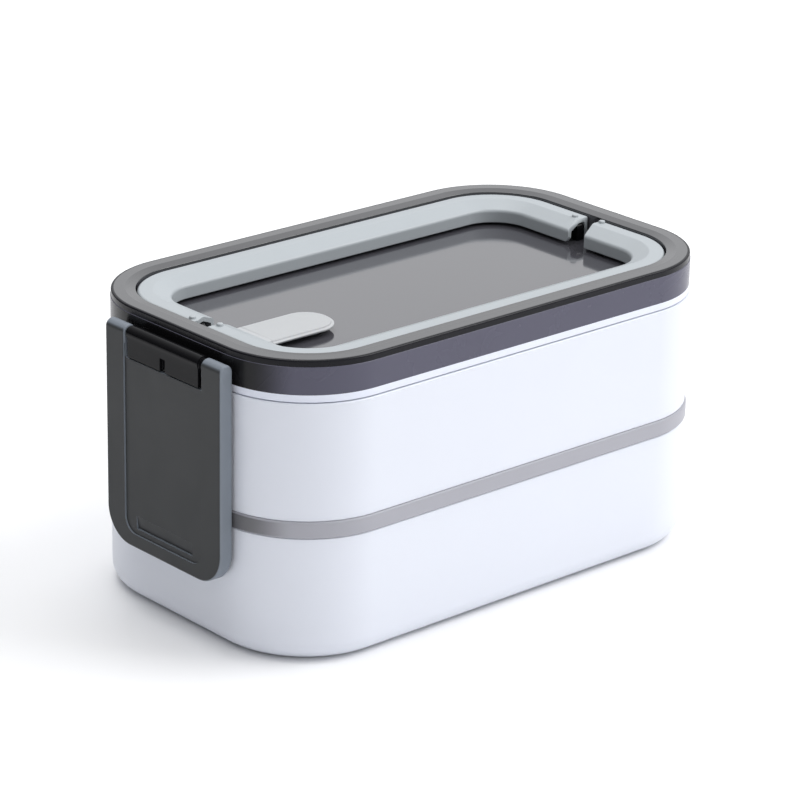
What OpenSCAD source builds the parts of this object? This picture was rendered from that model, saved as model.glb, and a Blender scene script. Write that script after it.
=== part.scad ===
// Two-tier bento lunch box: two food trays, a middle lid, a latched top lid with two folding
// handles and a vent flap. Millimetres, +Z up, origin at the centre of the base.

/* [Overall] */
// Length over the top lid, without the end clips
box_l = 200; // [190:1:215]
// Width over the top lid
box_w = 118.6; // [112:0.2:130]
// Height from the base to the lid's rim
box_h = 106; // [102:1:112]
// Corner radius of the top lid, seen from above
corner_r = 34.6; // [33:0.2:38]

/* [Trays] */
// How far the tray walls stand outside the lid's outline
tray_out = 0.4; // [0.2:0.1:0.6]
// Thickness of the tray walls
tray_wall = 3.4; // [3:0.1:3.6]
// Thickness of the tray floors
tray_floor = 2.2; // [1.8:0.1:3]
// Radius of the lower tray's bottom edge
base_fillet = 10.3; // [8:0.1:11]
// Radius inside the trays where the floor meets the walls
inner_fillet = 7; // [5:0.5:8]
// Height of the rim that each tray pushes up into the lid above it
lower_rim_h = 3; // [2.5:0.1:3.2]

/* [Middle lid] */
// Height of the underside of the visible band
band_z = 44.7; // [42:0.1:46]
// Height of the visible band
band_h = 5.8; // [5.6:0.1:7]
// How far the band stands outside the tray walls
band_out = 0.6; // [0.3:0.1:0.7]
// Thickness of the middle lid's plate and skirt
middle_wall = 1.6; // [1.4:0.1:1.8]

/* [Top lid] */
// Height of the lid's skirt
skirt_h = 11.5; // [11:0.1:12]
// Thickness of the skirt
skirt_wall = 1.5; // [1.3:0.1:1.6]
// Width of the flat rim and its inward slope
rim_w = 8.6; // [8.2:0.1:9]
// Depth of the well that holds the handles, below the rim
well_depth = 9.4; // [9.2:0.1:9.6]
// Thickness of the clear panel at the bottom of the well
panel_t = 1.8; // [1.5:0.1:2]

/* [Handles] */
// Width of the handle moulding, seen from above
handle_w = 11.7; // [11:0.1:12]
// Drop from the rim to the handle's flat top
handle_drop = 1; // [0.8:0.1:1.2]
// Drop from the rim to the handle pivots
pivot_drop = 5.2; // [5:0.1:5.3]
// Distance of each handle's pivots from the centre line
pivot_y = 5.2; // [5.2:0.1:5.6]
// Radius of the handle pins
handle_pin_r = 0.8; // [0.7:0.05:0.85]

/* [Clips] */
// Width of an end clip
clip_w = 61; // [58:1:62]
// Height of an end clip's lower edge above the base
clip_z = 24; // [22:1:26]
// Thickness of an end clip
clip_t = 5.2; // [5:0.1:5.4]
// Width of each clip arm beside the lid's hinge barrel
arm_w = 10.2; // [9:0.1:11]
// Radius of a clip's lower corners
clip_corner = 12; // [10:1:14]
// Radius of the clip pins
clip_pin_r = 1.1; // [0.9:0.1:1.2]

/* [Vent] */
// Length of the vent flap
flap_l = 35.8; // [33:0.2:36]
// Width of the vent flap
flap_w = 19; // [17:0.5:20]
// Thickness of the vent flap
flap_t = 1.6; // [1.4:0.1:1.8]
// Radius of the vent hole in the lid's panel
vent_hole_r = 3.1; // [3:0.1:3.2]

/* [Hidden] */
$fn = 96;

// Centres of the four corner roundings. Every swept ring turns about these, so a ring's
// profile is drawn as distance out from a corner centre (x) and height (y).
corner_x = box_l / 2 - corner_r;
corner_y = box_w / 2 - corner_r;
eps = 0.5;                                     // overlap of solids that are joined

// Fits between pieces
running_gap = 0.05;                            // pins in their bores, on radius
lift_gap = 0.3;                                // walls that slide past each other

// Trays
tray_r = corner_r + tray_out;
tray_in_r = tray_r - tray_wall;
foot_inset = 4;                                // from the bottom edge's rounding to the foot
foot_r = tray_r - base_fillet - foot_inset;
foot_h = 0.8;
rib_out = 0.6;                                 // the clips' catch ribs on the lower tray
rib_h = 2;
rib_z = 30;
rib_w = 36;

// Middle lid
band_top = band_z + band_h;
band_r = tray_r + band_out;
plate_under = band_top - middle_wall;
lower_rim_r = band_r - middle_wall - lift_gap;
lower_rim_top = band_z + lower_rim_h - lift_gap;
shoulder_gap = 0.4;                            // from a tray's shoulder to the skirt above
plateau_h = 1.2;
plateau_r = tray_in_r - 0.6;
nest_gap = 0.4;
seal_rib = 1.2;                                // thickness of the ribs that hold the seals

// Top lid
skirt_z = box_h - skirt_h;
skirt_in_r = corner_r - skirt_wall;
rim_t = 2;
rim_slope_w = 2.9;
rim_slope_h = 0.8;
well_r = corner_r - rim_w;
panel_z = box_h - well_depth;
upper_rim_r = skirt_in_r - lift_gap;
upper_rim_top = box_h - 5.2;
edge_round = 1.1;

// Handles
handle_gap = 0.5;
handle_r = well_r - handle_gap;
handle_in_r = handle_r - handle_w;
handle_top = box_h - handle_drop;
handle_bottom = panel_z + 1;
handle_wall = 1.8;
handle_skin = 1.6;
strip_w = 5.4;                                 // the flat strip along the handle's top
slope_drop = 2.6;                              // the fall from the strip to the inner edge
pivot_z = box_h - pivot_drop;
ear_r = 3.9;                                   // rounding of the handle ends about the pivots
ear_flat = 1.3;                                // how far the flat top runs past the pivot
nub_r = 0.9;                                   // small nubs on top of each handle's ends
nub_h = 0.9;
nub_y = pivot_y + 0.4;
end_y = pivot_y - 1.8;                         // where the outer walls of the handles' ends stop
cutback_x = corner_x + handle_in_r + 9.3;      // where the slanted cut of one end starts
cutback_slant = 0.37;                          // the cut's run along Y for each mm of X
lead_slant = -0.18;                            // the same for the other end, which runs on inwards
knuckle_r = 2.4;
knuckle_x = corner_x + handle_in_r + 6.2;      // inner face of the lid's knuckles
knuckle_w = 3.6;
pin_in_x = knuckle_x - 0.2;
pin_l = corner_x + handle_r - 0.4 - pin_in_x;

// Clips
clip_back = corner_x + band_r + lift_gap;
clip_front = clip_back + clip_t;
clip_axis_x = clip_back + clip_t / 2;
clip_axis_z = box_h - 4 - clip_t / 2;
barrel_r = 2.7;
barrel_gap = 0.4;
barrel_l = clip_w - 2 * arm_w - 2 * barrel_gap;
block_front = barrel_r - 0.35;                 // flat face of the hinge block, from its axis
block_t = 3.5;
block_notch_w = 3;
block_notch_h = 2.4;
clip_recess = 1.2;
recess_r = 5;
recess_margin = 9.6;
recess_foot = 5;
clip_skin = 1.8;
pocket_margin = 3;
grip_l = 30;
grip_h = 3;
grip_depth = 0.8;
clip_top = box_h - 15;                         // upper edge of the plate between the arms
block_z = clip_top + 0.6;
clip_pin_l = clip_w - 8;

// Vent flap
flap_y = -8.3;
flap_left = -(corner_x + handle_in_r) + 0.8;
flap_top = panel_z + 3.4;
flap_z = flap_top - flap_t;
seat_h = 0.8;
seat_w = 2.4;
vent_x = flap_left + flap_l - flap_w / 2;
plug_r = vent_hole_r - 0.6;
hinge_x = flap_left + 5.6;
hinge_z = flap_z + flap_t / 2;
anchor_w = flap_w;
anchor_gap = 0.3;

// Sweeps a profile right round the rounded rectangle
module ring() {
    for (quarter = [0:3]) {
        out = quarter % 2 == 0 ? corner_x : corner_y;
        along = quarter % 2 == 0 ? corner_y : corner_x;
        rotate([0, 0, 90 * quarter]) {
            translate([out, along, 0]) rotate([90, 0, 0]) linear_extrude(2 * along) children();
            translate([out, along, 0]) rotate_extrude(angle = 90) children();
        }
    }
}

// The rectangle inside a ring, which closes a floor or a panel
module middle_slab(z, t) {
    translate([-corner_x, -corner_y, z]) cube([2 * corner_x, 2 * corner_y, t]);
}

// Profile of a bowl: a filled wall line with a round lower corner
module bowl_profile(r, z0, z1, fillet) {
    translate([0, z0]) square([r - fillet, z1 - z0]);
    translate([0, z0 + fillet]) square([r, z1 - z0 - fillet]);
    translate([r - fillet, z0 + fillet]) circle(r = fillet);
}

// Profile of a tray: its wall to the shoulder, and the narrower rim above it
module tray_profile(z0, shoulder, rim_r, rim_top, floor_z, fillet) {
    difference() {
        union() {
            bowl_profile(tray_r, z0, shoulder, fillet);
            translate([0, shoulder - eps]) square([rim_r, rim_top - shoulder + eps]);
        }
        bowl_profile(tray_in_r, floor_z, rim_top + 1, inner_fillet);
    }
}

module lower_tray() color("whitesmoke") {
    floor_top = foot_h + tray_floor;
    difference() {
        union() {
            ring() tray_profile(0, band_z - shoulder_gap, lower_rim_r, lower_rim_top,
                floor_top, base_fillet);
            middle_slab(0, floor_top);
        }
        translate([0, 0, -1]) {
            ring() square([foot_r, foot_h + 1]);
            middle_slab(0, foot_h + 1);
        }
    }
    for (side = [-1, 1])
        translate([side * (corner_x + tray_r + rib_out / 2 - eps / 2), 0, rib_z])
            cube([rib_out + eps, rib_w, rib_h], center = true);
}

module middle_lid() color("darkgray") {
    ring() {
        translate([band_r - middle_wall, band_z]) square([middle_wall, band_h]);
        translate([plateau_r - 1, plate_under]) square([band_r - plateau_r + 1 - eps / 2, middle_wall]);
        translate([tray_in_r - seal_rib - 0.4, plate_under - 2.6]) square([seal_rib, 3]);
        translate([0, plate_under + plateau_h]) square([plateau_r, middle_wall]);
    }
    middle_slab(plate_under + plateau_h, middle_wall);
}

module middle_seal() color("lightgray")
    ring() translate([tray_in_r - 0.3, lower_rim_top + 0.1])
        square([lower_rim_r - tray_in_r + 0.3, plate_under - lower_rim_top - 0.1]);

module upper_tray() color("whitesmoke") {
    foot = plateau_h + nest_gap;
    floor_under = band_top + foot;
    difference() {
        union() {
            ring() tray_profile(band_top, skirt_z - shoulder_gap, upper_rim_r, upper_rim_top,
                floor_under + tray_floor, 0.5);
            middle_slab(band_top, foot + tray_floor);
        }
        translate([0, 0, band_top - 1]) {
            ring() square([plateau_r + nest_gap, foot + 1]);
            middle_slab(0, foot + 1);
        }
    }
}

// The lid's section: skirt, rounded outer edge, rim with its inward slope, well wall, panel
module lid_profile() {
    translate([skirt_in_r, skirt_z]) square([skirt_wall, skirt_h - edge_round]);
    translate([skirt_in_r, box_h - rim_t]) square([skirt_wall - edge_round, rim_t]);
    translate([corner_r - edge_round, box_h - edge_round]) circle(r = edge_round);
    polygon([
        [well_r, box_h - rim_t],
        [skirt_in_r + eps / 2, box_h - rim_t],
        [skirt_in_r + eps / 2, box_h],
        [well_r + rim_slope_w, box_h],
        [well_r, box_h - rim_slope_h]
    ]);
    translate([well_r, panel_z - panel_t]) square([rim_t - 0.4, well_depth + panel_t - rim_slope_h - 1]);
    translate([0, panel_z - panel_t]) square([well_r + eps / 2, panel_t]);
    translate([tray_in_r - seal_rib - 0.8, box_h - rim_t - 4]) square([seal_rib, 5]);
}

// A knuckle that carries one handle pin: a stem from the panel with a round top
module knuckle(side, y) {
    x = side > 0 ? knuckle_x : -knuckle_x - knuckle_w;
    translate([x, y, pivot_z]) rotate([0, 90, 0]) cylinder(r = knuckle_r, h = knuckle_w);
    translate([x, y - knuckle_r + 0.3, panel_z - eps])
        cube([knuckle_w, 2 * knuckle_r - 0.6, pivot_z - panel_z + eps]);
}

// The hinge block of one clip: a round top about the pin, a flat front below it with a notch in
// its lower edge, and a web to the skirt
module hinge_block(side) {
    web_x = corner_x + skirt_in_r + 0.4;
    difference() {
        union() {
            translate([side * clip_axis_x, barrel_l / 2, clip_axis_z])
                rotate([90, 0, 0]) cylinder(r = barrel_r, h = barrel_l);
            translate([side * (clip_axis_x + block_front - block_t / 2), 0, (block_z + clip_axis_z) / 2])
                cube([block_t, barrel_l, clip_axis_z - block_z], center = true);
            translate([side * (clip_axis_x + web_x) / 2, 0, clip_axis_z])
                cube([clip_axis_x - web_x, barrel_l, 2 * barrel_r - 1.4], center = true);
        }
        translate([side * (clip_axis_x + block_front), 0, block_z + block_notch_h / 2 - eps])
            cube([2 * clip_recess, block_notch_w, block_notch_h + 2 * eps], center = true);
    }
}

module lid() color("dimgray") {
    difference() {
        union() {
            ring() lid_profile();
            middle_slab(panel_z - panel_t, panel_t);
            for (side = [-1, 1]) {
                hinge_block(side);
                for (y = [-pivot_y, pivot_y])
                    knuckle(side, y);
            }
            translate([vent_x, flap_y, panel_z - eps])
                cylinder(r = vent_hole_r + seat_w, h = seat_h + eps);
        }
        translate([vent_x, flap_y, panel_z - panel_t - 1])
            cylinder(r = vent_hole_r, h = panel_t + seat_h + 2);
        for (side = [-1, 1]) {
            translate([side * clip_axis_x, barrel_l / 2 + 1, clip_axis_z])
                rotate([90, 0, 0]) cylinder(r = clip_pin_r, h = barrel_l + 2);
            for (y = [-pivot_y, pivot_y])
                translate([side * knuckle_x - (side < 0 ? knuckle_w : 0) - 1, y, pivot_z])
                    rotate([0, 90, 0]) cylinder(r = handle_pin_r, h = knuckle_w + 2);
        }
    }
}

module lid_seal() color("gainsboro")
    ring() translate([tray_in_r - 0.6, upper_rim_top + 0.2])
        square([skirt_in_r - tray_in_r + 0.5, box_h - rim_t - upper_rim_top - 0.25]);

// The handle's section: a channel, open below, with a flat strip and a long inward slope
module handle_profile() {
    strip_in = handle_r - strip_w;
    polygon([
        [handle_r, handle_bottom],
        [handle_r, handle_top - 0.6],
        [handle_r - 0.6, handle_top],
        [strip_in, handle_top],
        [handle_in_r + 0.4, handle_top - slope_drop + 0.1],
        [handle_in_r, handle_top - slope_drop - 0.4],
        [handle_in_r, handle_bottom],
        [handle_in_r + handle_wall, handle_bottom],
        [handle_in_r + handle_wall, handle_top - slope_drop - handle_skin + 0.6],
        [strip_in, handle_top - handle_skin],
        [handle_r - handle_wall, handle_top - handle_skin],
        [handle_r - handle_wall, handle_bottom]
    ]);
}

// Side view of a handle's end, about its pivot at the origin: x points away from the centre
module ear_mask() {
    rise = handle_top - pivot_z;
    circle(r = ear_r);
    polygon([
        [0, 0],
        [-ear_r * cos(48), ear_r * sin(48)],
        [-ear_flat, rise],
        [0, rise]
    ]);
}

// A small nub on a handle's top, that far out from the corner centre
module nub(side, out) {
    translate([side * (corner_x + out), nub_y, handle_top - eps])
        cylinder(r = nub_r, h = nub_h + eps);
}

// Plan of what a slanted cut takes off one end of a handle, from start_x inwards
module end_cut(start_x, slant) {
    outer_x = corner_x + handle_r + 1;
    inner_x = corner_x + handle_in_r - 1;
    polygon([
        [outer_x, -1],
        [outer_x, end_y],
        [start_x, end_y],
        [inner_x, end_y + slant * (start_x - inner_x)],
        [inner_x, -1]
    ]);
}

// One handle, lying on the back half of the well. At the outside both ends stop at end_y. From there
// the left end is cut back towards the inside, and the right end runs on.
module handle() {
    difference() {
        handle_bow();
        linear_extrude(box_h + 1) {
            mirror([1, 0]) end_cut(cutback_x, cutback_slant);
            end_cut(corner_x + handle_r, lead_slant);
        }
    }
    nub(-1, handle_r - 1.7);
    nub(1, handle_r - strip_w + nub_r);
}

// The bow of a handle: three straight runs, two corners, and an ear about each pivot
module handle_bow() {
    for (side = [-1, 1]) {
        mirror([side < 0 ? 1 : 0, 0, 0]) {
            difference() {
                union() {
                    translate([corner_x, corner_y, 0]) rotate_extrude(angle = 90) handle_profile();
                    translate([corner_x, corner_y, 0]) rotate([90, 0, 0])
                        linear_extrude(corner_y - pivot_y) handle_profile();
                    intersection() {
                        translate([corner_x, pivot_y, 0]) rotate([90, 0, 0])
                            linear_extrude(2 * ear_r) handle_profile();
                        translate([corner_x, pivot_y, pivot_z]) rotate([90, 0, 90])
                            linear_extrude(2 * handle_r) ear_mask();
                    }
                }
                translate([pin_in_x, pivot_y, pivot_z]) rotate([0, 90, 0])
                    cylinder(r = handle_pin_r + running_gap, h = pin_l + 1);
            }
        }
    }
    translate([-corner_x, corner_y, 0]) rotate([90, 0, 90])
        linear_extrude(2 * corner_x) handle_profile();
}

module back_handle() color("lightsteelblue") handle();

module front_handle() color("lightsteelblue") rotate([0, 0, 180]) handle();

module handle_pin(x_side, y_side) color("silver")
    translate([x_side > 0 ? pin_in_x : -pin_in_x - pin_l, y_side * pivot_y, pivot_z])
        rotate([0, 90, 0]) cylinder(r = handle_pin_r, h = pin_l);

// Front view of a clip, drawn with x across the box and y up
module clip_outline() {
    half = clip_w / 2;
    translate([-half, clip_z + clip_corner]) square([clip_w, clip_top - clip_z - clip_corner]);
    translate([-half + clip_corner, clip_z]) square([clip_w - 2 * clip_corner, clip_corner + eps]);
    for (side = [-1, 1]) {
        translate([side * (half - clip_corner), clip_z + clip_corner]) circle(r = clip_corner);
        translate([side * (half - arm_w / 2) - arm_w / 2, clip_top - eps])
            square([arm_w, clip_axis_z - clip_top + eps]);
    }
}

// Front view of the recess in a clip's face
module recess_outline() {
    half = clip_w / 2 - recess_margin;
    low = clip_z + recess_foot;
    translate([-half, low + recess_r]) square([2 * half, clip_top - low - recess_r + 1]);
    translate([-half + recess_r, low]) square([2 * (half - recess_r), recess_r + eps]);
    for (side = [-1, 1])
        translate([side * (half - recess_r), low + recess_r]) circle(r = recess_r);
}

// The clip of the right-hand end
module clip() {
    difference() {
        union() {
            translate([clip_back, 0, 0]) rotate([90, 0, 90]) linear_extrude(clip_t) clip_outline();
            for (side = [-1, 1])
                translate([clip_axis_x, side * (clip_w / 2 - arm_w / 2) + arm_w / 2, clip_axis_z])
                    rotate([90, 0, 0]) cylinder(r = clip_t / 2, h = arm_w);
        }
        translate([clip_front - clip_recess, 0, 0]) rotate([90, 0, 90])
            linear_extrude(clip_recess + 1) recess_outline();
        translate([clip_back - 1, -clip_w / 2 + pocket_margin, clip_z + clip_corner])
            cube([clip_t - clip_recess - clip_skin + 1, clip_w - 2 * pocket_margin,
                clip_top - clip_z - clip_corner - pocket_margin]);
        translate([clip_front - clip_recess - grip_depth, -grip_l / 2, clip_z + recess_foot + 2])
            cube([grip_depth + 1, grip_l, grip_h]);
        translate([clip_axis_x, clip_pin_l / 2 + 0.2, clip_axis_z]) rotate([90, 0, 0])
            cylinder(r = clip_pin_r + running_gap, h = clip_pin_l + 0.4);
    }
}

module clip_pin(side) color("silver")
    translate([side * clip_axis_x, clip_pin_l / 2, clip_axis_z])
        rotate([90, 0, 0]) cylinder(r = clip_pin_r, h = clip_pin_l);

module right_clip() color("slategray") clip();

module left_clip() color("slategray") mirror([1, 0, 0]) clip();

// A tongue with one round end, lying along +X, and a rounded root to turn about
module vent_flap() color("gainsboro") {
    round_x = flap_left + flap_l - flap_w / 2;
    translate([hinge_x, flap_y + flap_w / 2, hinge_z]) rotate([90, 0, 0])
        cylinder(r = flap_t / 2, h = flap_w);
    translate([hinge_x, flap_y - flap_w / 2, flap_z]) cube([round_x - hinge_x, flap_w, flap_t]);
    translate([round_x, flap_y, flap_z]) cylinder(r = flap_w / 2, h = flap_t);
}

module vent_plug() color("lightgray")
    translate([vent_x, flap_y, panel_z - panel_t - 0.4])
        cylinder(r = plug_r, h = flap_z - panel_z + panel_t + 0.4);

module vent_anchor() color("gainsboro")
    translate([flap_left, flap_y - anchor_w / 2, panel_z])
        cube([hinge_x - flap_left - flap_t / 2 - anchor_gap, anchor_w, flap_top - panel_z]);

lower_tray();
middle_lid();
middle_seal();
upper_tray();
lid();
lid_seal();
back_handle();
front_handle();
handle_pin(-1, 1);  // handle_pin_back_left
handle_pin(1, 1);  // handle_pin_back_right
handle_pin(-1, -1);  // handle_pin_front_left
handle_pin(1, -1);  // handle_pin_front_right
left_clip();
right_clip();
clip_pin(-1);  // left_clip_pin
clip_pin(1);  // right_clip_pin
vent_flap();
vent_plug();
vent_anchor();
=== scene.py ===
import math

import bmesh
import bpy
from mathutils import Matrix, Vector


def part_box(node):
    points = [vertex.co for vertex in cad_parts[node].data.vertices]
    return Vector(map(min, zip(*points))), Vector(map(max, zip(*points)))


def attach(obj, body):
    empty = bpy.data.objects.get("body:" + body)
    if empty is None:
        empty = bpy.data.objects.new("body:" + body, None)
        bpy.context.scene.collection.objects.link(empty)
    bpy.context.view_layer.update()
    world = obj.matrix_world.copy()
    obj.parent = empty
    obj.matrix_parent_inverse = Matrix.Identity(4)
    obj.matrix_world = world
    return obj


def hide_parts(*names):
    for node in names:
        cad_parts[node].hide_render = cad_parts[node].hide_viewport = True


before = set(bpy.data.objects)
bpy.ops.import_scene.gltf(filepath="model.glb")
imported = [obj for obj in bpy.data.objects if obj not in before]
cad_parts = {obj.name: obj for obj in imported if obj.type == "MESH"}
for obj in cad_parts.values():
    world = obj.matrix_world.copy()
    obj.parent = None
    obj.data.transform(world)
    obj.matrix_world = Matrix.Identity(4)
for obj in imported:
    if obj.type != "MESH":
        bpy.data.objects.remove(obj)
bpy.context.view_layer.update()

MM = 0.001

# ---------------------------------------------------------------- sizes, from the frame
# Every ring of the box turns about the same four corner centres. A profile point is
# (distance out from a corner centre, height), in metres.
LID_R = 34.6 * MM
TRAY_LOW, TRAY_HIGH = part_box("upper_tray")
BASE_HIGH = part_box("lower_tray")[1]
MID_LOW, MID_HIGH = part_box("middle_lid")
LID_LOW, LID_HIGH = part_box("lid")
HANDLE_LOW, HANDLE_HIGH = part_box("back_handle")
CLIP_LOW, CLIP_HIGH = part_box("right_clip")
CLIP_PIN_LOW, CLIP_PIN_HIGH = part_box("right_clip_pin")
FLAP_LOW, FLAP_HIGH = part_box("vent_flap")
ANCHOR_LOW, ANCHOR_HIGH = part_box("vent_anchor")
PLUG_LOW, PLUG_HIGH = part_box("vent_plug")
PIN_LOW, PIN_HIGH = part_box("handle_pin_back_right")

CORNER_Y = LID_HIGH.y - LID_R
TRAY_R = TRAY_HIGH.y - CORNER_Y
CORNER_X = TRAY_HIGH.x - TRAY_R
TRAY_IN_R = TRAY_R - 3.4 * MM
BAND_R = MID_HIGH.y - CORNER_Y
BOX_H = LID_HIGH.z
SKIRT_Z = LID_LOW.z
BAND_Z = MID_LOW.z
BAND_TOP = TRAY_LOW.z
WELL_R = LID_R - 8.6 * MM
PANEL_Z = BOX_H - 9.4 * MM
PANEL_T = 1.8 * MM
CAP_R = 6 * MM
SEAL_RIB_W = 1.2 * MM
VENT_R = 3.1 * MM

HANDLE_R = HANDLE_HIGH.x - CORNER_X
HANDLE_IN_R = HANDLE_R - 11.7 * MM
HANDLE_TOP = BOX_H - 1 * MM
HANDLE_BOTTOM = HANDLE_LOW.z
PIVOT_Y = (PIN_LOW.y + PIN_HIGH.y) / 2
PIVOT_Z = (PIN_LOW.z + PIN_HIGH.z) / 2
EAR_R = 3.9 * MM
NUB_R = 1.15 * MM
STRIP_IN_R = HANDLE_R - 5.4 * MM
KNUCKLE_R = 2.4 * MM
KNUCKLE_W = 3.6 * MM
KNUCKLE_X = CORNER_X + HANDLE_IN_R + 6.2 * MM

AXIS_X = (CLIP_PIN_LOW.x + CLIP_PIN_HIGH.x) / 2
AXIS_Z = (CLIP_PIN_LOW.z + CLIP_PIN_HIGH.z) / 2
CLIP_W = CLIP_HIGH.y - CLIP_LOW.y
CLIP_T = CLIP_HIGH.x - CLIP_LOW.x
ARM_W = 10.2 * MM
CLIP_TOP = BOX_H - 15 * MM
BARREL_R = 2.7 * MM
BARREL_HALF = CLIP_W / 2 - ARM_W - 0.4 * MM


# ---------------------------------------------------------------- shape tools
def rounded(points, closed=False, steps=6):
    """Points (a, b, radius) joined up, each corner replaced by an arc of its radius."""
    out = []
    count = len(points)
    for i, (a, b, *rest) in enumerate(points):
        radius = rest[0] if rest else 0
        here = Vector((a, b))
        if radius == 0 or (not closed and i in (0, count - 1)):
            out.append(here)
            continue
        before = Vector(points[i - 1][:2]) - here
        after = Vector(points[(i + 1) % count][:2]) - here
        turn = before.angle(after)
        reach = min(radius / math.tan(turn / 2), before.length * 0.49, after.length * 0.49)
        radius = reach * math.tan(turn / 2)
        middle = here + (before.normalized() + after.normalized()).normalized() * (
            radius / math.sin(turn / 2))
        start = here + before.normalized() * reach - middle
        end = here + after.normalized() * reach - middle
        sweep = start.angle_signed(end)
        pieces = max(2, round(steps * abs(sweep) / (math.pi / 2)))
        for k in range(pieces + 1):
            angle = -sweep * k / pieces
            out.append(middle + Matrix.Rotation(angle, 2) @ start)
    return [(p.x, p.y) for p in out]


def ring_stations(arc=28, straight=3):
    """Round the rounded rectangle: (corner centre x, y, outward x, outward y)."""
    centres = [(CORNER_X, CORNER_Y), (-CORNER_X, CORNER_Y),
               (-CORNER_X, -CORNER_Y), (CORNER_X, -CORNER_Y)]
    out = []
    for quarter, (x, y) in enumerate(centres):
        for k in range(arc + 1):
            angle = math.pi / 2 * (quarter + k / arc)
            out.append((x, y, math.cos(angle), math.sin(angle)))
        x2, y2 = centres[(quarter + 1) % 4]
        for k in range(1, straight + 1):
            share = k / (straight + 1)
            out.append((x + (x2 - x) * share, y + (y2 - y) * share,
                        math.cos(angle), math.sin(angle)))
    return out


def skin(bm, loops, closed_chain=False):
    """Quads between neighbouring loops of points. Returns the loops' vertices."""
    rows = [[bm.verts.new(p) for p in loop] for loop in loops]
    chain = rows + [rows[0]] if closed_chain else rows
    for low, high in zip(chain, chain[1:]):
        count = len(low)
        for i in range(count):
            j = (i + 1) % count
            bm.faces.new((low[i], low[j], high[j], high[i]))
    return rows


def to_object(bm, name, smooth=True):
    bmesh.ops.recalc_face_normals(bm, faces=bm.faces)
    mesh = bpy.data.meshes.new(name)
    bm.to_mesh(mesh)
    bm.free()
    piece = bpy.data.objects.new(name, mesh)
    bpy.context.scene.collection.objects.link(piece)
    if smooth:
        mesh.shade_smooth()
    return piece


def ring_loop(radius, height, stations):
    return [(x + radius * dx, y + radius * dy, height) for x, y, dx, dy in stations]


def swept(name, profile, capped=True, holes=()):
    """A solid of one profile swept round the box. A capped one closes over the middle.
    Each hole is (x, y, radius), right through the middle."""
    bm = bmesh.new()
    stations = ring_stations()
    rows = skin(bm, [ring_loop(r, z, stations) for r, z in profile], closed_chain=not capped)
    if capped:
        rims = []
        for row in (rows[0], rows[-1]):
            edges = [bm.edges.get((row[i], row[(i + 1) % len(row)])) for i in range(len(row))]
            circles = []
            for x, y, radius in holes:
                circle = [bm.verts.new(p) for p in circle_points(x, y, radius, row[0].co.z)]
                circles.append(circle)
                edges += [bm.edges.new((circle[i - 1], circle[i])) for i in range(len(circle))]
            rims.append(circles)
            if holes:
                bmesh.ops.triangle_fill(bm, edges=edges, use_beauty=True)
            else:
                bm.faces.new(row)
        for low, high in zip(*rims):
            for i in range(len(low)):
                bm.faces.new((low[i - 1], low[i], high[i], high[i - 1]))
    return to_object(bm, name)


def circle_points(x, y, radius, z, count=48):
    return [(x + radius * math.cos(math.tau * k / count),
             y + radius * math.sin(math.tau * k / count), z) for k in range(count)]


def prism(name, outline, place):
    """A flat outline [(a, b)] pushed through between two ends. place(a, b, end) gives a point."""
    bm = bmesh.new()
    rows = skin(bm, [[place(a, b, end) for a, b in outline] for end in (0, 1)])
    for row in rows:
        bm.faces.new(row)
    return to_object(bm, name)


def turned_y(name, x, z, profile, count=40):
    """A solid of revolution about a line along Y: profile is [(y, radius)]."""
    bm = bmesh.new()
    loops = [[(x + radius * math.cos(math.tau * k / count), y,
               z + radius * math.sin(math.tau * k / count)) for k in range(count)]
             for y, radius in profile]
    rows = skin(bm, loops)
    for row in (rows[0], rows[-1]):
        bm.faces.new(row)
    return to_object(bm, name)


def settle(piece):
    """Turns a piece's modifiers into its own mesh."""
    graph = bpy.context.evaluated_depsgraph_get()
    mesh = bpy.data.meshes.new_from_object(piece.evaluated_get(graph))
    old = piece.data
    piece.modifiers.clear()
    piece.data = mesh
    bpy.data.meshes.remove(old)
    return piece


def cut(piece, tool, operation="DIFFERENCE"):
    """Cuts a piece with a tool solid, or keeps what they share, or joins them."""
    step = piece.modifiers.new("cut", "BOOLEAN")
    step.operation = operation
    step.solver = "EXACT"
    step.object = tool
    settle(piece)
    bpy.data.objects.remove(tool)
    return piece


def soften(piece, width, segments=3, angle=35):
    """Rounds every edge sharper than the angle."""
    step = piece.modifiers.new("soften", "BEVEL")
    step.width = width
    step.segments = segments
    step.limit_method = "ANGLE"
    step.angle_limit = math.radians(angle)
    step.use_clamp_overlap = True
    return settle(piece)


def shade(piece):
    """Smooth shading that keeps flat faces flat and true corners crisp."""
    piece.data.shade_smooth()
    piece.data.set_sharp_from_angle(angle=math.radians(50))
    step = piece.modifiers.new("normals", "WEIGHTED_NORMAL")
    step.keep_sharp = True
    step.weight = 80
    return piece


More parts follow.
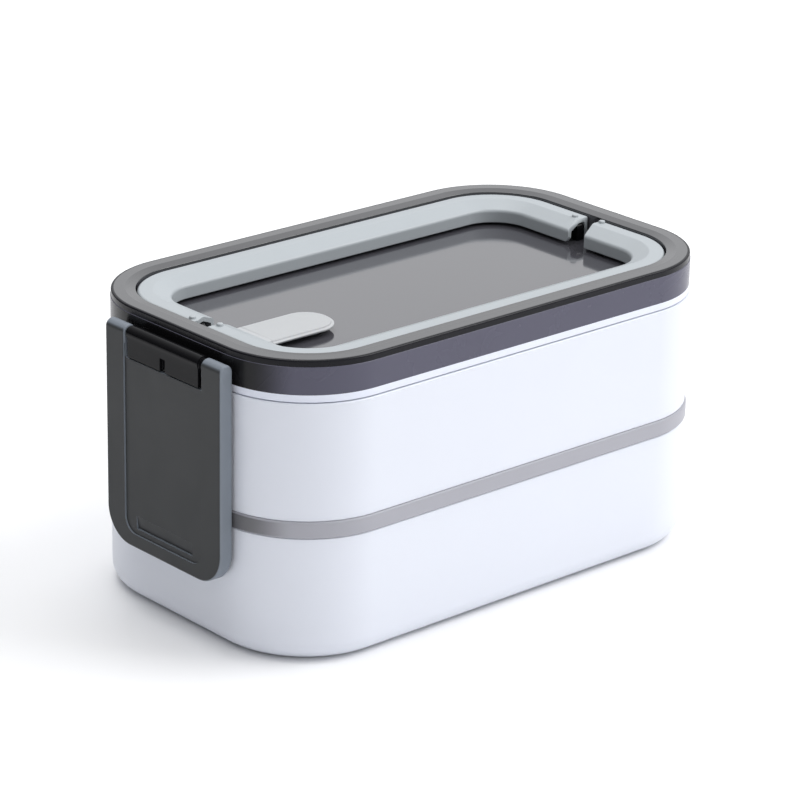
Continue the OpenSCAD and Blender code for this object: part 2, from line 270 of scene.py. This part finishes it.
# ---------------------------------------------------------------- materials
def plastic(name, colour, roughness, coat=0.0, grain=0.0004, bump=0.05, cloud=0.04, wear=0.10,
            sheen_scale=0.03, subsurface=0.0, specular=0.5, zones=(), painted_end_shade=None):
    """Moulded plastic: faint cloudiness in the colour, uneven polish, a fine moulded grain,
    and edges rubbed a little paler. Each zone (colour, low, high) recolours a span of heights.
    The end colour is painted shade: it darkens the faces square to the box's length, where
    the box's ends lie in shade."""
    material = bpy.data.materials.new(name)
    material.use_nodes = True
    nodes = material.node_tree.nodes
    link = material.node_tree.links.new
    shader = nodes["Principled BSDF"]
    where = nodes.new("ShaderNodeTexCoord")

    clouds = nodes.new("ShaderNodeTexNoise")
    clouds.inputs["Scale"].default_value = 1 / sheen_scale
    clouds.inputs["Detail"].default_value = 4
    link(where.outputs["Object"], clouds.inputs["Vector"])

    tone = nodes.new("ShaderNodeMapRange")
    tone.inputs["To Min"].default_value = 1 - cloud
    tone.inputs["To Max"].default_value = 1 + cloud
    link(clouds.outputs["Fac"], tone.inputs["Value"])

    base = nodes.new("ShaderNodeMix")
    base.data_type = "RGBA"
    base.blend_type = "MULTIPLY"
    base.inputs["Factor"].default_value = 1
    base.inputs["A"].default_value = (*colour, 1)
    link(tone.outputs["Result"], base.inputs["B"])
    colour_out = base.outputs["Result"]

    # Painted shade: faces square to the box's length take the darker end colour.
    if painted_end_shade:
        normal = nodes.new("ShaderNodeSeparateXYZ")
        link(where.outputs["Normal"], normal.inputs["Vector"])
        size = nodes.new("ShaderNodeMath")
        size.operation = "ABSOLUTE"
        link(normal.outputs["X"], size.inputs[0])
        square = nodes.new("ShaderNodeMapRange")
        square.interpolation_type = "SMOOTHSTEP"
        square.inputs["From Min"].default_value = 0.72
        square.inputs["From Max"].default_value = 0.97
        link(size.outputs["Value"], square.inputs["Value"])
        ends = nodes.new("ShaderNodeMix")
        ends.data_type = "RGBA"
        ends.inputs["B"].default_value = (*painted_end_shade, 1)
        link(square.outputs["Result"], ends.inputs["Factor"])
        link(colour_out, ends.inputs["A"])
        colour_out = ends.outputs["Result"]

    if zones:
        place = nodes.new("ShaderNodeSeparateXYZ")
        link(where.outputs["Object"], place.inputs["Vector"])
    for zone_colour, low, high in zones:
        inside = nodes.new("ShaderNodeMath")
        inside.operation = "COMPARE"
        inside.inputs[1].default_value = (low + high) / 2
        inside.inputs[2].default_value = (high - low) / 2
        link(place.outputs["Z"], inside.inputs[0])
        strip = nodes.new("ShaderNodeMix")
        strip.data_type = "RGBA"
        strip.inputs["B"].default_value = (*zone_colour, 1)
        link(inside.outputs["Value"], strip.inputs["Factor"])
        link(colour_out, strip.inputs["A"])
        colour_out = strip.outputs["Result"]

    geometry = nodes.new("ShaderNodeNewGeometry")
    rubbed = nodes.new("ShaderNodeMapRange")
    rubbed.inputs["From Min"].default_value = 0.53
    rubbed.inputs["From Max"].default_value = 0.62
    rubbed.inputs["To Max"].default_value = wear
    link(geometry.outputs["Pointiness"], rubbed.inputs["Value"])
    edge = nodes.new("ShaderNodeMix")
    edge.data_type = "RGBA"
    edge.inputs["B"].default_value = (*[min(1, c * 1.4 + 0.06) for c in colour], 1)
    link(rubbed.outputs["Result"], edge.inputs["Factor"])
    link(colour_out, edge.inputs["A"])
    link(edge.outputs["Result"], shader.inputs["Base Color"])

    smears = nodes.new("ShaderNodeTexNoise")
    smears.inputs["Scale"].default_value = 1 / (sheen_scale * 0.6)
    smears.inputs["Detail"].default_value = 6
    smears.inputs["Distortion"].default_value = 0.6
    link(where.outputs["Object"], smears.inputs["Vector"])
    polish = nodes.new("ShaderNodeMapRange")
    polish.inputs["To Min"].default_value = max(0.02, roughness * 0.75)
    polish.inputs["To Max"].default_value = roughness * 1.3
    link(smears.outputs["Fac"], polish.inputs["Value"])
    link(polish.outputs["Result"], shader.inputs["Roughness"])

    speck = nodes.new("ShaderNodeTexNoise")
    speck.inputs["Scale"].default_value = 1 / grain
    speck.inputs["Detail"].default_value = 2
    link(where.outputs["Object"], speck.inputs["Vector"])
    relief = nodes.new("ShaderNodeBump")
    relief.inputs["Strength"].default_value = bump
    relief.inputs["Distance"].default_value = grain * 0.1
    link(speck.outputs["Fac"], relief.inputs["Height"])
    link(relief.outputs["Normal"], shader.inputs["Normal"])

    shader.inputs["IOR"].default_value = 1.49
    shader.inputs["Specular IOR Level"].default_value = specular
    shader.inputs["Coat Weight"].default_value = coat
    shader.inputs["Coat Roughness"].default_value = 0.04
    if subsurface:
        shader.inputs["Subsurface Weight"].default_value = subsurface
        shader.inputs["Subsurface Radius"].default_value = (1.0, 1.0, 1.0)
        shader.inputs["Subsurface Scale"].default_value = 1.2 * MM
    return material


def steel(name):
    """Drawn steel wire: fine lines along its length and uneven polish."""
    material = bpy.data.materials.new(name)
    material.use_nodes = True
    nodes = material.node_tree.nodes
    link = material.node_tree.links.new
    shader = nodes["Principled BSDF"]
    shader.inputs["Metallic"].default_value = 1
    shader.inputs["Base Color"].default_value = (0.55, 0.55, 0.57, 1)
    where = nodes.new("ShaderNodeTexCoord")
    lines = nodes.new("ShaderNodeTexNoise")
    lines.inputs["Scale"].default_value = 1800
    link(where.outputs["Object"], lines.inputs["Vector"])
    polish = nodes.new("ShaderNodeMapRange")
    polish.inputs["To Min"].default_value = 0.2
    polish.inputs["To Max"].default_value = 0.42
    link(lines.outputs["Fac"], polish.inputs["Value"])
    link(polish.outputs["Result"], shader.inputs["Roughness"])
    return material


WHITE = plastic("tray_white", (0.75, 0.775, 0.845), 0.34, grain=0.0005, bump=0.03, cloud=0.012,
                wear=0.0, sheen_scale=0.06, subsurface=0.08)
# The band's ends carry painted shade: its faces square to the box's length are darker.
GREY = plastic("band_grey", (0.38, 0.38, 0.42), 0.42, bump=0.08, cloud=0.03,
               painted_end_shade=(0.13, 0.13, 0.14))
# The smoke's near-black zone at the rim top is a painted dark reflection along the rim edge.
SMOKE = plastic("lid_smoke", (0.060, 0.059, 0.068), 0.10, coat=0.8, bump=0.02, cloud=0.05,
                wear=0.05, zones=[((0.012, 0.012, 0.016), BOX_H - 1 * MM, BOX_H + 1 * MM)])
# The skirt has a pale strip at its foot, a black strip under the rim that is a painted dark
# reflection of the rounded edge, and painted shade on its ends.
SKIRT = plastic("lid_skirt_smoke", (0.100, 0.098, 0.136), 0.26, bump=0.04, cloud=0.05, wear=0.0,
                specular=0.22, painted_end_shade=(0.009, 0.009, 0.010),
                zones=[((0.78, 0.81, 0.91), SKIRT_Z - 1 * MM, SKIRT_Z + 2.6 * MM),
                       ((0.004, 0.004, 0.007), BOX_H - 2.3 * MM, BOX_H + 1 * MM)])
BLOCK = plastic("hinge_black", (0.006, 0.006, 0.007), 0.13, bump=0.02, wear=0.0, specular=0.12)
BLUE = plastic("handle_blue_grey", (0.39, 0.42, 0.44), 0.38, bump=0.08, cloud=0.03)
# The clip's faces square to the box's length carry painted shade, much darker than its sides.
CLIP = plastic("clip_grey", (0.20, 0.225, 0.26), 0.42, bump=0.06, cloud=0.04, wear=0.0,
               specular=0.25, painted_end_shade=(0.034, 0.036, 0.038))
RUBBER = plastic("silicone_pale", (0.43, 0.44, 0.45), 0.55, bump=0.12, cloud=0.03, subsurface=0.05)
STEEL = steel("pin_steel")


def finish_piece(piece, material, slot, body, *nodes):
    piece.data.materials.clear()
    piece.data.materials.append(material)
    if nodes:
        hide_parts(*nodes)
    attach(piece, body)
    return piece


# ---------------------------------------------------------------- trays and middle lid
def build_trays():
    shoulder = BAND_Z - 0.25 * MM
    rim_r = BAND_R - 1.9 * MM
    foot_r = TRAY_R - 14.7 * MM
    profile = rounded([
        (CAP_R, 0.8 * MM),
        (foot_r, 0.8 * MM, 0.4 * MM),
        (foot_r + 0.5 * MM, 0, 0.3 * MM),
        (TRAY_R, 0, 10.3 * MM),
        (TRAY_R, shoulder, 0.35 * MM),
        (rim_r, shoulder, 0.15 * MM),
        (rim_r, BASE_HIGH.z, 0.5 * MM),
        (TRAY_IN_R, BASE_HIGH.z, 0.5 * MM),
        (TRAY_IN_R, 3 * MM, 7 * MM),
        (CAP_R, 3 * MM),
    ], steps=10)
    tray = shade(swept("lower_tray_shell", profile))
    finish_piece(tray, WHITE, "white_plastic", "lower_tray", "lower_tray")
    rib_in = TRAY_R - 0.4 * MM
    rib_out = TRAY_R + 0.6 * MM
    rib_low = 29 * MM
    rib_high = 31 * MM
    rib_half = 18 * MM
    outline = rounded([(rib_in, rib_low), (rib_out, rib_low, 0.3 * MM),
                       (rib_out, rib_high, 0.3 * MM), (rib_in, rib_high)])
    for side, word in ((-1, "left"), (1, "right")):
        rib = prism("catch_rib_" + word, outline, lambda a, b, end: (
            side * (CORNER_X + a), (end * 2 - 1) * rib_half, b))
        finish_piece(shade(rib), WHITE, "white_plastic", "lower_tray")

    rim_r = LID_R - 1.8 * MM
    shoulder = SKIRT_Z - 0.3 * MM
    foot_in = TRAY_IN_R - 0.2 * MM
    floor_z = BAND_TOP + 1.6 * MM
    profile = rounded([
        (CAP_R, floor_z),
        (foot_in, floor_z, 0.4 * MM),
        (foot_in, BAND_TOP, 0.4 * MM),
        (TRAY_R, BAND_TOP, 0.45 * MM),
        (TRAY_R, shoulder, 0.5 * MM),
        (rim_r, shoulder, 0.2 * MM),
        (rim_r, TRAY_HIGH.z, 0.5 * MM),
        (TRAY_IN_R, TRAY_HIGH.z, 0.5 * MM),
        (TRAY_IN_R, floor_z + 2.2 * MM, 7 * MM),
        (CAP_R, floor_z + 2.2 * MM),
    ], steps=10)
    tray = shade(swept("upper_tray_shell", profile))
    finish_piece(tray, WHITE, "white_plastic", "upper_tray", "upper_tray")

    under = BAND_TOP - 1.6 * MM
    rib_r = TRAY_IN_R - 1.6 * MM
    skirt_in = BAND_R - 1.6 * MM
    profile = rounded([
        (CAP_R, under + 1.2 * MM),
        (rib_r, under + 1.2 * MM, 0.6 * MM),
        (rib_r, under - 2.6 * MM, 0.3 * MM),
        (rib_r + SEAL_RIB_W, under - 2.6 * MM, 0.3 * MM),
        (rib_r + SEAL_RIB_W, under, 0.3 * MM),
        (skirt_in, under, 0.3 * MM),
        (skirt_in, BAND_Z, 0.2 * MM),
        (BAND_R, BAND_Z, 0.55 * MM),
        (BAND_R, BAND_TOP, 0.8 * MM),
        (TRAY_IN_R - 0.6 * MM, BAND_TOP, 0.3 * MM),
        (TRAY_IN_R - 0.6 * MM, MID_HIGH.z, 0.5 * MM),
        (CAP_R, MID_HIGH.z),
    ], steps=5)
    band = shade(swept("middle_lid_plate", profile))
    finish_piece(band, GREY, "grey_plastic", "middle_lid", "middle_lid")


# ---------------------------------------------------------------- lid
def knuckle(side, y):
    """A stem from the panel with a round head, for one handle pin."""
    foot = PANEL_Z - PIVOT_Z - 0.3 * MM
    outline = [(-KNUCKLE_R + 0.2 * MM, foot)]
    outline += [(KNUCKLE_R * math.cos(a), KNUCKLE_R * math.sin(a))
                for a in [math.pi - math.pi * k / 20 for k in range(21)]]
    outline += [(KNUCKLE_R - 0.2 * MM, foot)]
    return prism("knuckle", outline, lambda a, b, end: (
        side * (KNUCKLE_X + end * KNUCKLE_W), y + a, PIVOT_Z + b))


def hinge_block(side):
    """The lid's hinge for one clip: a round-topped bar with ringed ends and a middle notch."""
    front = BARREL_R - 0.35 * MM
    low = CLIP_TOP + 0.6 * MM - AXIS_Z
    arc = [(BARREL_R * math.cos(a), BARREL_R * math.sin(a))
           for a in [math.radians(200 - 200 * k / 24) for k in range(25)]]
    outline = arc + [(front, -1.4 * MM), (front, low), (-1.2 * MM, low), (-1.2 * MM, -2.3 * MM),
                     (-5.2 * MM, -2.3 * MM), (-5.2 * MM, 1.6 * MM)]
    half = BARREL_HALF - 1.2 * MM
    bar = prism("hinge_block_" + ("left" if side < 0 else "right"), outline,
                lambda a, b, end: (side * (AXIS_X + a), (end * 2 - 1) * half, AXIS_Z + b))
    notch = prism("notch", [(-1.4 * MM, -3.3 * MM), (1.4 * MM, -3.3 * MM), (1.4 * MM, -9 * MM),
                            (-1.4 * MM, -9 * MM)],
                  lambda a, b, end: (side * (AXIS_X + (1.2 + end * 3) * MM), a, AXIS_Z + b))
    soften(cut(bar, notch), 0.25 * MM)
    for end in (-1, 1):
        rings = [(half, 2.3), (half + 0.15 * MM, 2.45), (half + 0.5 * MM, 2.45),
                 (half + 0.65 * MM, 1.9), (half + 0.8 * MM, 1.9), (half + 0.9 * MM, 2.2),
                 (half + 1.1 * MM, 2.2), (half + 1.2 * MM, 2.0)]
        collar = turned_y("collar", side * AXIS_X, AXIS_Z,
                          [(end * y, r * MM) for y, r in rings])
        cut(bar, collar, "UNION")
    return bar


def build_lid():
    vent_x = (PLUG_LOW.x + PLUG_HIGH.x) / 2
    vent_y = (PLUG_LOW.y + PLUG_HIGH.y) / 2
    rib_r = TRAY_IN_R - 2 * MM
    under = BOX_H - 2 * MM
    profile = rounded([
        (CAP_R, PANEL_Z - PANEL_T),
        (WELL_R + 1.6 * MM, PANEL_Z - PANEL_T, 1.2 * MM),
        (WELL_R + 1.6 * MM, under, 0.6 * MM),
        (rib_r, under, 0.4 * MM),
        (rib_r, under - 4 * MM, 0.3 * MM),
        (rib_r + SEAL_RIB_W, under - 4 * MM, 0.3 * MM),
        (rib_r + SEAL_RIB_W, under, 0.3 * MM),
        (LID_R - 1.1 * MM, under, 0.2 * MM),
        (LID_R - 1.1 * MM, BOX_H, 0.1 * MM),
        (WELL_R + 3.6 * MM, BOX_H, 0.6 * MM),
        (WELL_R, BOX_H - 0.5 * MM, 0.25 * MM),
        (WELL_R, PANEL_Z, 0.8 * MM),
        (CAP_R, PANEL_Z),
    ], steps=6)
    lid = swept("lid_shell", profile, holes=[(vent_x, vent_y, VENT_R)])
    finish_piece(shade(lid), SMOKE, "smoke_plastic", "lid", "lid")

    lip = BOX_H - 2.5 * MM
    top = BOX_H - 0.02 * MM
    skirt = swept("lid_skirt", rounded([
        (LID_R - 1.5 * MM, SKIRT_Z, 0.3 * MM),
        (LID_R, SKIRT_Z, 0.4 * MM),
        (LID_R, lip, 0.08 * MM),
        (LID_R - 0.18 * MM, lip + 0.14 * MM, 0.05 * MM),
        (LID_R - 0.18 * MM, top, 0.9 * MM),
        (LID_R - 1.5 * MM, top, 0.1 * MM),
    ], closed=True, steps=6), capped=False)
    finish_piece(shade(skirt), SKIRT, "smoke_plastic", "lid")

    bm = bmesh.new()
    seat_r = VENT_R + 2.4 * MM
    seat_low = PANEL_Z - 0.2 * MM
    seat_top = PANEL_Z + 0.8 * MM
    seat = rounded([(VENT_R, seat_low), (VENT_R, seat_top, 0.2 * MM),
                    (seat_r, seat_top, 0.4 * MM), (seat_r, seat_low)])
    skin(bm, [circle_points(vent_x, vent_y, r, z) for r, z in seat], closed_chain=True)
    finish_piece(shade(to_object(bm, "vent_seat")), SMOKE, "smoke_plastic", "lid")

    for side, word in ((-1, "left"), (1, "right")):
        finish_piece(shade(hinge_block(side)), BLOCK, "smoke_plastic", "lid")
        for y, which in ((-PIVOT_Y, "front"), (PIVOT_Y, "back")):
            post = soften(knuckle(side, y), 0.3 * MM)
            post.name = "knuckle_" + which + "_" + word
            finish_piece(shade(post), BLOCK, "smoke_plastic", "lid")


# ---------------------------------------------------------------- handles
def handle_stations(arc=28):
    """Along a handle lying on the back half: down both arms to just past the pivots."""
    past = PIVOT_Y - EAR_R - 0.6 * MM
    out = [(CORNER_X, y, 1.0, 0.0) for y in (past, PIVOT_Y, (PIVOT_Y + CORNER_Y) / 2)]
    for quarter, x in enumerate((CORNER_X, -CORNER_X)):
        for k in range(arc + 1):
            angle = math.pi / 2 * (quarter + k / arc)
            out.append((x, CORNER_Y, math.cos(angle), math.sin(angle)))
        if quarter == 0:
            out += [(CORNER_X * share, CORNER_Y, 0.0, 1.0) for share in (0.5, 0, -0.5)]
    out += [(-CORNER_X, y, -1.0, 0.0) for y in ((PIVOT_Y + CORNER_Y) / 2, PIVOT_Y, past)]
    return out


def nub(name, x, y):
    """A small round stud standing on a handle's top."""
    bm = bmesh.new()
    rows = skin(bm, [circle_points(x, y, radius, HANDLE_TOP + rise * MM, 24) for radius, rise in (
        (NUB_R, -0.6), (NUB_R, 0.55), (0.87 * NUB_R, 0.75), (0.6 * NUB_R, 0.87),
        (0.25 * NUB_R, 0.9))])
    for row in (rows[0], rows[-1]):
        bm.faces.new(row)
    return shade(to_object(bm, name))


def build_handle(name, body, turned):
    wall = 1.8 * MM
    bore_r = 0.85 * MM
    ceiling = HANDLE_TOP - 1.6 * MM
    profile = rounded([
        (HANDLE_R, HANDLE_BOTTOM, 0.3 * MM),
        (HANDLE_R, HANDLE_TOP, 1.0 * MM),
        (STRIP_IN_R, HANDLE_TOP, 1.6 * MM),
        (HANDLE_IN_R, HANDLE_TOP - 2.6 * MM, 1.5 * MM),
        (HANDLE_IN_R, HANDLE_BOTTOM, 0.5 * MM),
        (HANDLE_IN_R + wall, HANDLE_BOTTOM, 0.3 * MM),
        (HANDLE_IN_R + wall, ceiling - 2 * MM, 0.8 * MM),
        (STRIP_IN_R, ceiling, 0.8 * MM),
        (HANDLE_R - wall, ceiling, 0.8 * MM),
        (HANDLE_R - wall, HANDLE_BOTTOM, 0.3 * MM),
    ], closed=True, steps=6)
    bm = bmesh.new()
    rows = skin(bm, [[(x + r * dx, y + r * dy, z) for r, z in profile]
                     for x, y, dx, dy in handle_stations()])
    for row in (rows[0], rows[-1]):
        bm.faces.new(row)
    handle = to_object(bm, name)

    rise = HANDLE_TOP - PIVOT_Z
    ear = [(EAR_R * math.cos(a), EAR_R * math.sin(a))
           for a in [math.radians(270 - 132 * k / 26) for k in range(27)]]
    side_view = ear + rounded([ear[-1], (-1.5 * MM, rise - 0.05 * MM, 1.6 * MM),
                               (0.5 * MM, rise + 0.2 * MM)])[1:]
    side_view += [(60 * MM, rise + 1 * MM), (60 * MM, -EAR_R - 1 * MM), (0, -EAR_R - 0.01 * MM)]
    mask = prism("mask", side_view, lambda a, b, end: (
        (end * 2 - 1) * 120 * MM, PIVOT_Y + a, PIVOT_Z + b))
    cut(handle, mask, "INTERSECT")
    for side in (-1, 1):
        bore = prism("bore", [(bore_r * math.cos(math.tau * k / 24),
                               bore_r * math.sin(math.tau * k / 24)) for k in range(24)],
                     lambda a, b, end: (
                         side * (PIN_LOW.x + end * 7 * MM), PIVOT_Y + a, PIVOT_Z + b))
        cut(handle, bore)
    # At the outside both ends stop at end_y. From there the left end is cut back towards the
    # inside, and the right end runs on.
    end_y = PIVOT_Y - 1.8 * MM
    outer_x = CORNER_X + HANDLE_R + 1 * MM
    inner_x = CORNER_X + HANDLE_IN_R - 1 * MM
    for side, start_x, slant in ((-1, CORNER_X + HANDLE_IN_R + 9.3 * MM, 0.37),
                                 (1, CORNER_X + HANDLE_R, -0.18)):
        plan = [(outer_x, -5 * MM), (outer_x, end_y), (start_x, end_y),
                (inner_x, end_y + slant * (start_x - inner_x)), (inner_x, -5 * MM)]
        wedge = prism("wedge", plan, lambda a, b, end: (
            side * a, b, HANDLE_BOTTOM + (end * 14 - 2) * MM))
        cut(handle, wedge)
    soften(handle, 0.25 * MM, segments=2, angle=50)
    if turned:
        handle.data.transform(Matrix.Rotation(math.pi, 4, "Z"))
    finish_piece(shade(handle), BLUE, "handle_plastic", body, body)
    turn = -1 if turned else 1
    for side, out in ((-1, HANDLE_R - 1.7 * MM), (1, STRIP_IN_R + NUB_R)):
        bead = nub(body + ("_nub_a" if side < 0 else "_nub_b"),
                   turn * side * (CORNER_X + out), turn * (PIVOT_Y + 0.4 * MM))
        finish_piece(bead, BLUE, "handle_plastic", body)


# ---------------------------------------------------------------- clips
def build_clip(name, body, side):
    """Drawn for the right-hand end and mirrored for the left."""
    half = CLIP_W / 2
    low = CLIP_LOW.z
    inner = half - ARM_W
    outline = rounded([
        (-half, low, 12 * MM), (half, low, 12 * MM),
        (half, CLIP_HIGH.z + 1 * MM), (inner, CLIP_HIGH.z + 1 * MM),
        (inner, CLIP_TOP, 0.8 * MM), (-inner, CLIP_TOP, 0.8 * MM),
        (-inner, CLIP_HIGH.z + 1 * MM), (-half, CLIP_HIGH.z + 1 * MM),
    ], closed=True, steps=16)
    clip = prism(name, outline, lambda a, b, end: (CLIP_LOW.x + end * CLIP_T, a, b))

    top = [(CLIP_T / 2 * math.cos(a), CLIP_T / 2 * math.sin(a))
           for a in [math.pi * k / 32 for k in range(33)]]
    side_view = [(CLIP_T / 2, -100 * MM)] + top + [(-CLIP_T / 2, -100 * MM)]
    mask = prism("mask", side_view, lambda a, b, end: (
        AXIS_X + a * 1.0005, (end * 2 - 1) * 60 * MM, AXIS_Z + b))
    cut(clip, mask, "INTERSECT")
    soften(clip, 1.1 * MM, segments=5, angle=40)

    recess_depth = 0.6 * MM
    scoop_half = 15 * MM
    bore_r = 1.15 * MM
    face = CLIP_HIGH.x - recess_depth
    recess_half = half - 9.6 * MM
    foot = low + 5 * MM
    recess = prism("recess", rounded([
        (-recess_half, foot, 5.5 * MM), (recess_half, foot, 5.5 * MM),
        (recess_half, CLIP_TOP + 5 * MM), (-recess_half, CLIP_TOP + 5 * MM),
    ], closed=True, steps=12), lambda a, b, end: (
        face + end * 3 * MM, a * (1 - 0.012 * (1 - end)), b))
    cut(clip, recess)

    scoop = prism("scoop", [(recess_depth, 6.9 * MM), (recess_depth, 2.1 * MM), (-0.8 * MM, 2.1 * MM),
                            (-0.08 * MM, 6.7 * MM)],
                  lambda a, b, end: (face + a, (end * 2 - 1) * scoop_half, foot + b))
    cut(clip, scoop)

    pocket = prism("pocket", rounded([
        (-half + 3 * MM, low + 12 * MM, 3 * MM), (half - 3 * MM, low + 12 * MM, 3 * MM),
        (half - 3 * MM, CLIP_TOP - 3 * MM, 3 * MM), (-half + 3 * MM, CLIP_TOP - 3 * MM, 3 * MM),
    ], closed=True), lambda a, b, end: (CLIP_LOW.x - 1 * MM + end * 3.2 * MM, a, b))
    cut(clip, pocket)
    bore = prism("bore", [(bore_r * math.cos(math.tau * k / 32),
                           bore_r * math.sin(math.tau * k / 32)) for k in range(32)],
                 lambda a, b, end: (AXIS_X + a, (end * 2 - 1) * (half - 3.8 * MM), AXIS_Z + b))
    cut(clip, bore)
    soften(clip, 0.35 * MM, segments=3, angle=50)
    if side < 0:
        clip.data.transform(Matrix.Scale(-1, 4, (1, 0, 0)))
        clip.data.flip_normals()
    finish_piece(shade(clip), CLIP, "clip_plastic", body, body)


# ---------------------------------------------------------------- vent flap
def tongue(name, left, right, z0, z1, round_end=False, round_root=False):
    """A strip of the vent flap's section, with a thin border step and soft edges. A round root
    turns about the middle of its own thickness."""
    middle = (FLAP_LOW.y + FLAP_HIGH.y) / 2
    half = (FLAP_HIGH.y - FLAP_LOW.y) / 2
    height = (z1 - z0) / MM
    levels = [(0.25, 0), (0, 0.25), (0, height - 0.95), (0.2, height - 0.75),
              (0.8, height - 0.7), (1.0, height - 0.5), (1.0, height - 0.4),
              (1.15, height - 0.12), (1.5, height)]
    loops = []
    for inset, rise in levels:
        reach = half - inset * MM
        if round_end:
            centre = right - half
            arc = [(centre + reach * math.cos(a), middle + reach * math.sin(a))
                   for a in [math.pi * (k / 40 - 0.5) for k in range(41)]]
        else:
            arc = [(right, middle - reach), (right, middle + reach)]
        root = left
        if round_root:
            radius = height / 2
            root += (radius - math.sqrt(max(0, radius ** 2 - (rise - radius) ** 2))) * MM
        outline = [(root, middle - reach)] + arc + [(root, middle + reach)]
        loops.append([(x, y, z0 + rise * MM) for x, y in outline])
    bm = bmesh.new()
    rows = skin(bm, loops)
    for row in (rows[0], rows[-1]):
        bm.faces.new(row)
    return shade(to_object(bm, name))


def build_vent():
    flap = tongue("vent_flap_tongue", FLAP_LOW.x, FLAP_HIGH.x, FLAP_LOW.z, FLAP_HIGH.z,
                  round_end=True, round_root=True)
    finish_piece(flap, RUBBER, "silicone", "vent_flap", "vent_flap")
    anchor = tongue("vent_anchor_root", ANCHOR_LOW.x, FLAP_LOW.x - 0.12 * MM,
                    ANCHOR_LOW.z, ANCHOR_HIGH.z)
    finish_piece(anchor, RUBBER, "silicone", "lid", "vent_anchor")


build_trays()
build_lid()
build_handle("back_handle_bail", "back_handle", False)
build_handle("front_handle_bail", "front_handle", True)
build_clip("right_clip_frame", "right_clip", 1)
build_clip("left_clip_frame", "left_clip", -1)
build_vent()

CARRIED = {RUBBER: ("middle_seal", "lid_seal", "vent_plug"),
           STEEL: ("handle_pin_back_left", "handle_pin_back_right", "handle_pin_front_left",
                   "handle_pin_front_right", "left_clip_pin", "right_clip_pin")}
for material, names in CARRIED.items():
    for name in names:
        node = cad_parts[name]
        node.data.materials.clear()
        node.data.materials.append(material)


# ---------------------------------------------------------------- floor, light, camera
def build_stage():
    bm = bmesh.new()
    bmesh.ops.create_grid(bm, x_segments=8, y_segments=8, size=3)
    floor = to_object(bm, "floor", smooth=False)
    floor.location.z = -0.2 * MM
    pale = plastic("floor_pale", (0.93, 0.93, 0.935), 0.7, bump=0.0, cloud=0.004, wear=0.0)
    floor.data.materials.append(pale)


def soft_light(name, place, aim, size, power):
    data = bpy.data.lights.new(name, "AREA")
    data.shape = "RECTANGLE"
    data.size, data.size_y = size
    data.energy = power
    light = bpy.data.objects.new(name, data)
    light.location = place
    light.rotation_euler = (Vector(aim) - Vector(place)).to_track_quat("-Z", "Y").to_euler()
    bpy.context.scene.collection.objects.link(light)


def build_sky():
    """White to the camera. As light it is bright above and to the right, dim on the left and
    along the horizon."""
    world = bpy.data.worlds.new("studio")
    bpy.context.scene.world = world
    world.use_nodes = True
    nodes = world.node_tree.nodes
    link = world.node_tree.links.new
    nodes.clear()
    where = nodes.new("ShaderNodeTexCoord")
    turn = nodes.new("ShaderNodeVectorMath")
    turn.operation = "DOT_PRODUCT"
    turn.inputs[1].default_value = (0.80, -0.35, 0.50)
    link(where.outputs["Generated"], turn.inputs[0])
    ramp = nodes.new("ShaderNodeMapRange")
    ramp.interpolation_type = "SMOOTHSTEP"
    ramp.inputs["From Min"].default_value = -0.75
    ramp.inputs["From Max"].default_value = 0.45
    ramp.inputs["To Min"].default_value = 0.06
    ramp.inputs["To Max"].default_value = 0.95
    link(turn.outputs["Value"], ramp.inputs["Value"])
    place = nodes.new("ShaderNodeSeparateXYZ")
    link(where.outputs["Generated"], place.inputs["Vector"])
    lift = nodes.new("ShaderNodeMapRange")
    lift.interpolation_type = "SMOOTHSTEP"
    lift.inputs["From Min"].default_value = 0.0
    lift.inputs["From Max"].default_value = 0.30
    lift.inputs["To Min"].default_value = 0.45
    link(place.outputs["Z"], lift.inputs["Value"])
    dimmed = nodes.new("ShaderNodeMath")
    dimmed.operation = "MULTIPLY"
    link(ramp.outputs["Result"], dimmed.inputs[0])
    link(lift.outputs["Result"], dimmed.inputs[1])
    glow = nodes.new("ShaderNodeBackground")
    glow.inputs["Color"].default_value = (0.97, 0.98, 1.0, 1)
    link(dimmed.outputs["Value"], glow.inputs["Strength"])
    white = nodes.new("ShaderNodeBackground")
    white.inputs["Color"].default_value = (1, 1, 1, 1)
    ray = nodes.new("ShaderNodeLightPath")
    choose = nodes.new("ShaderNodeMixShader")
    link(ray.outputs["Is Camera Ray"], choose.inputs["Fac"])
    link(glow.outputs["Background"], choose.inputs[1])
    link(white.outputs["Background"], choose.inputs[2])
    out = nodes.new("ShaderNodeOutputWorld")
    link(choose.outputs["Shader"], out.inputs["Surface"])


def build_camera():
    """Looks at the lid's centre from the left-hand front corner, with a long lens."""
    azimuth = math.radians(-41.92)
    elevation = math.radians(20.89)
    roll = math.radians(1.09)
    distance = 1.1678
    slide = Vector((2.18, 46.30)) * MM
    back = Vector((math.sin(azimuth) * math.cos(elevation),
                   -math.cos(azimuth) * math.cos(elevation), math.sin(elevation)))
    right = Vector((math.cos(azimuth), math.sin(azimuth), 0))
    up = back.cross(right)
    right, up = (right * math.cos(roll) + up * math.sin(roll),
                 up * math.cos(roll) - right * math.sin(roll))
    place = Vector((0, 0, BOX_H)) + back * distance - right * slide.x - up * slide.y
    data = bpy.data.cameras.new("photo_camera")
    data.lens = 152.58
    data.sensor_width = 36
    data.clip_end = 20
    camera = bpy.data.objects.new("photo_camera", data)
    turn = Matrix((right, up, back)).transposed()
    camera.matrix_world = Matrix.Translation(place) @ turn.to_4x4()
    bpy.context.scene.collection.objects.link(camera)
    bpy.context.scene.camera = camera


build_stage()
build_sky()
soft_light("key", (0.9, -0.7, 1.3), (0, 0, 0.05), size=(0.9, 0.9), power=13)
soft_light("top", (-0.1, 0.3, 1.5), (0, 0, 0.05), size=(1.2, 0.8), power=9)
build_camera()
bpy.context.scene.view_settings.view_transform = "Standard"
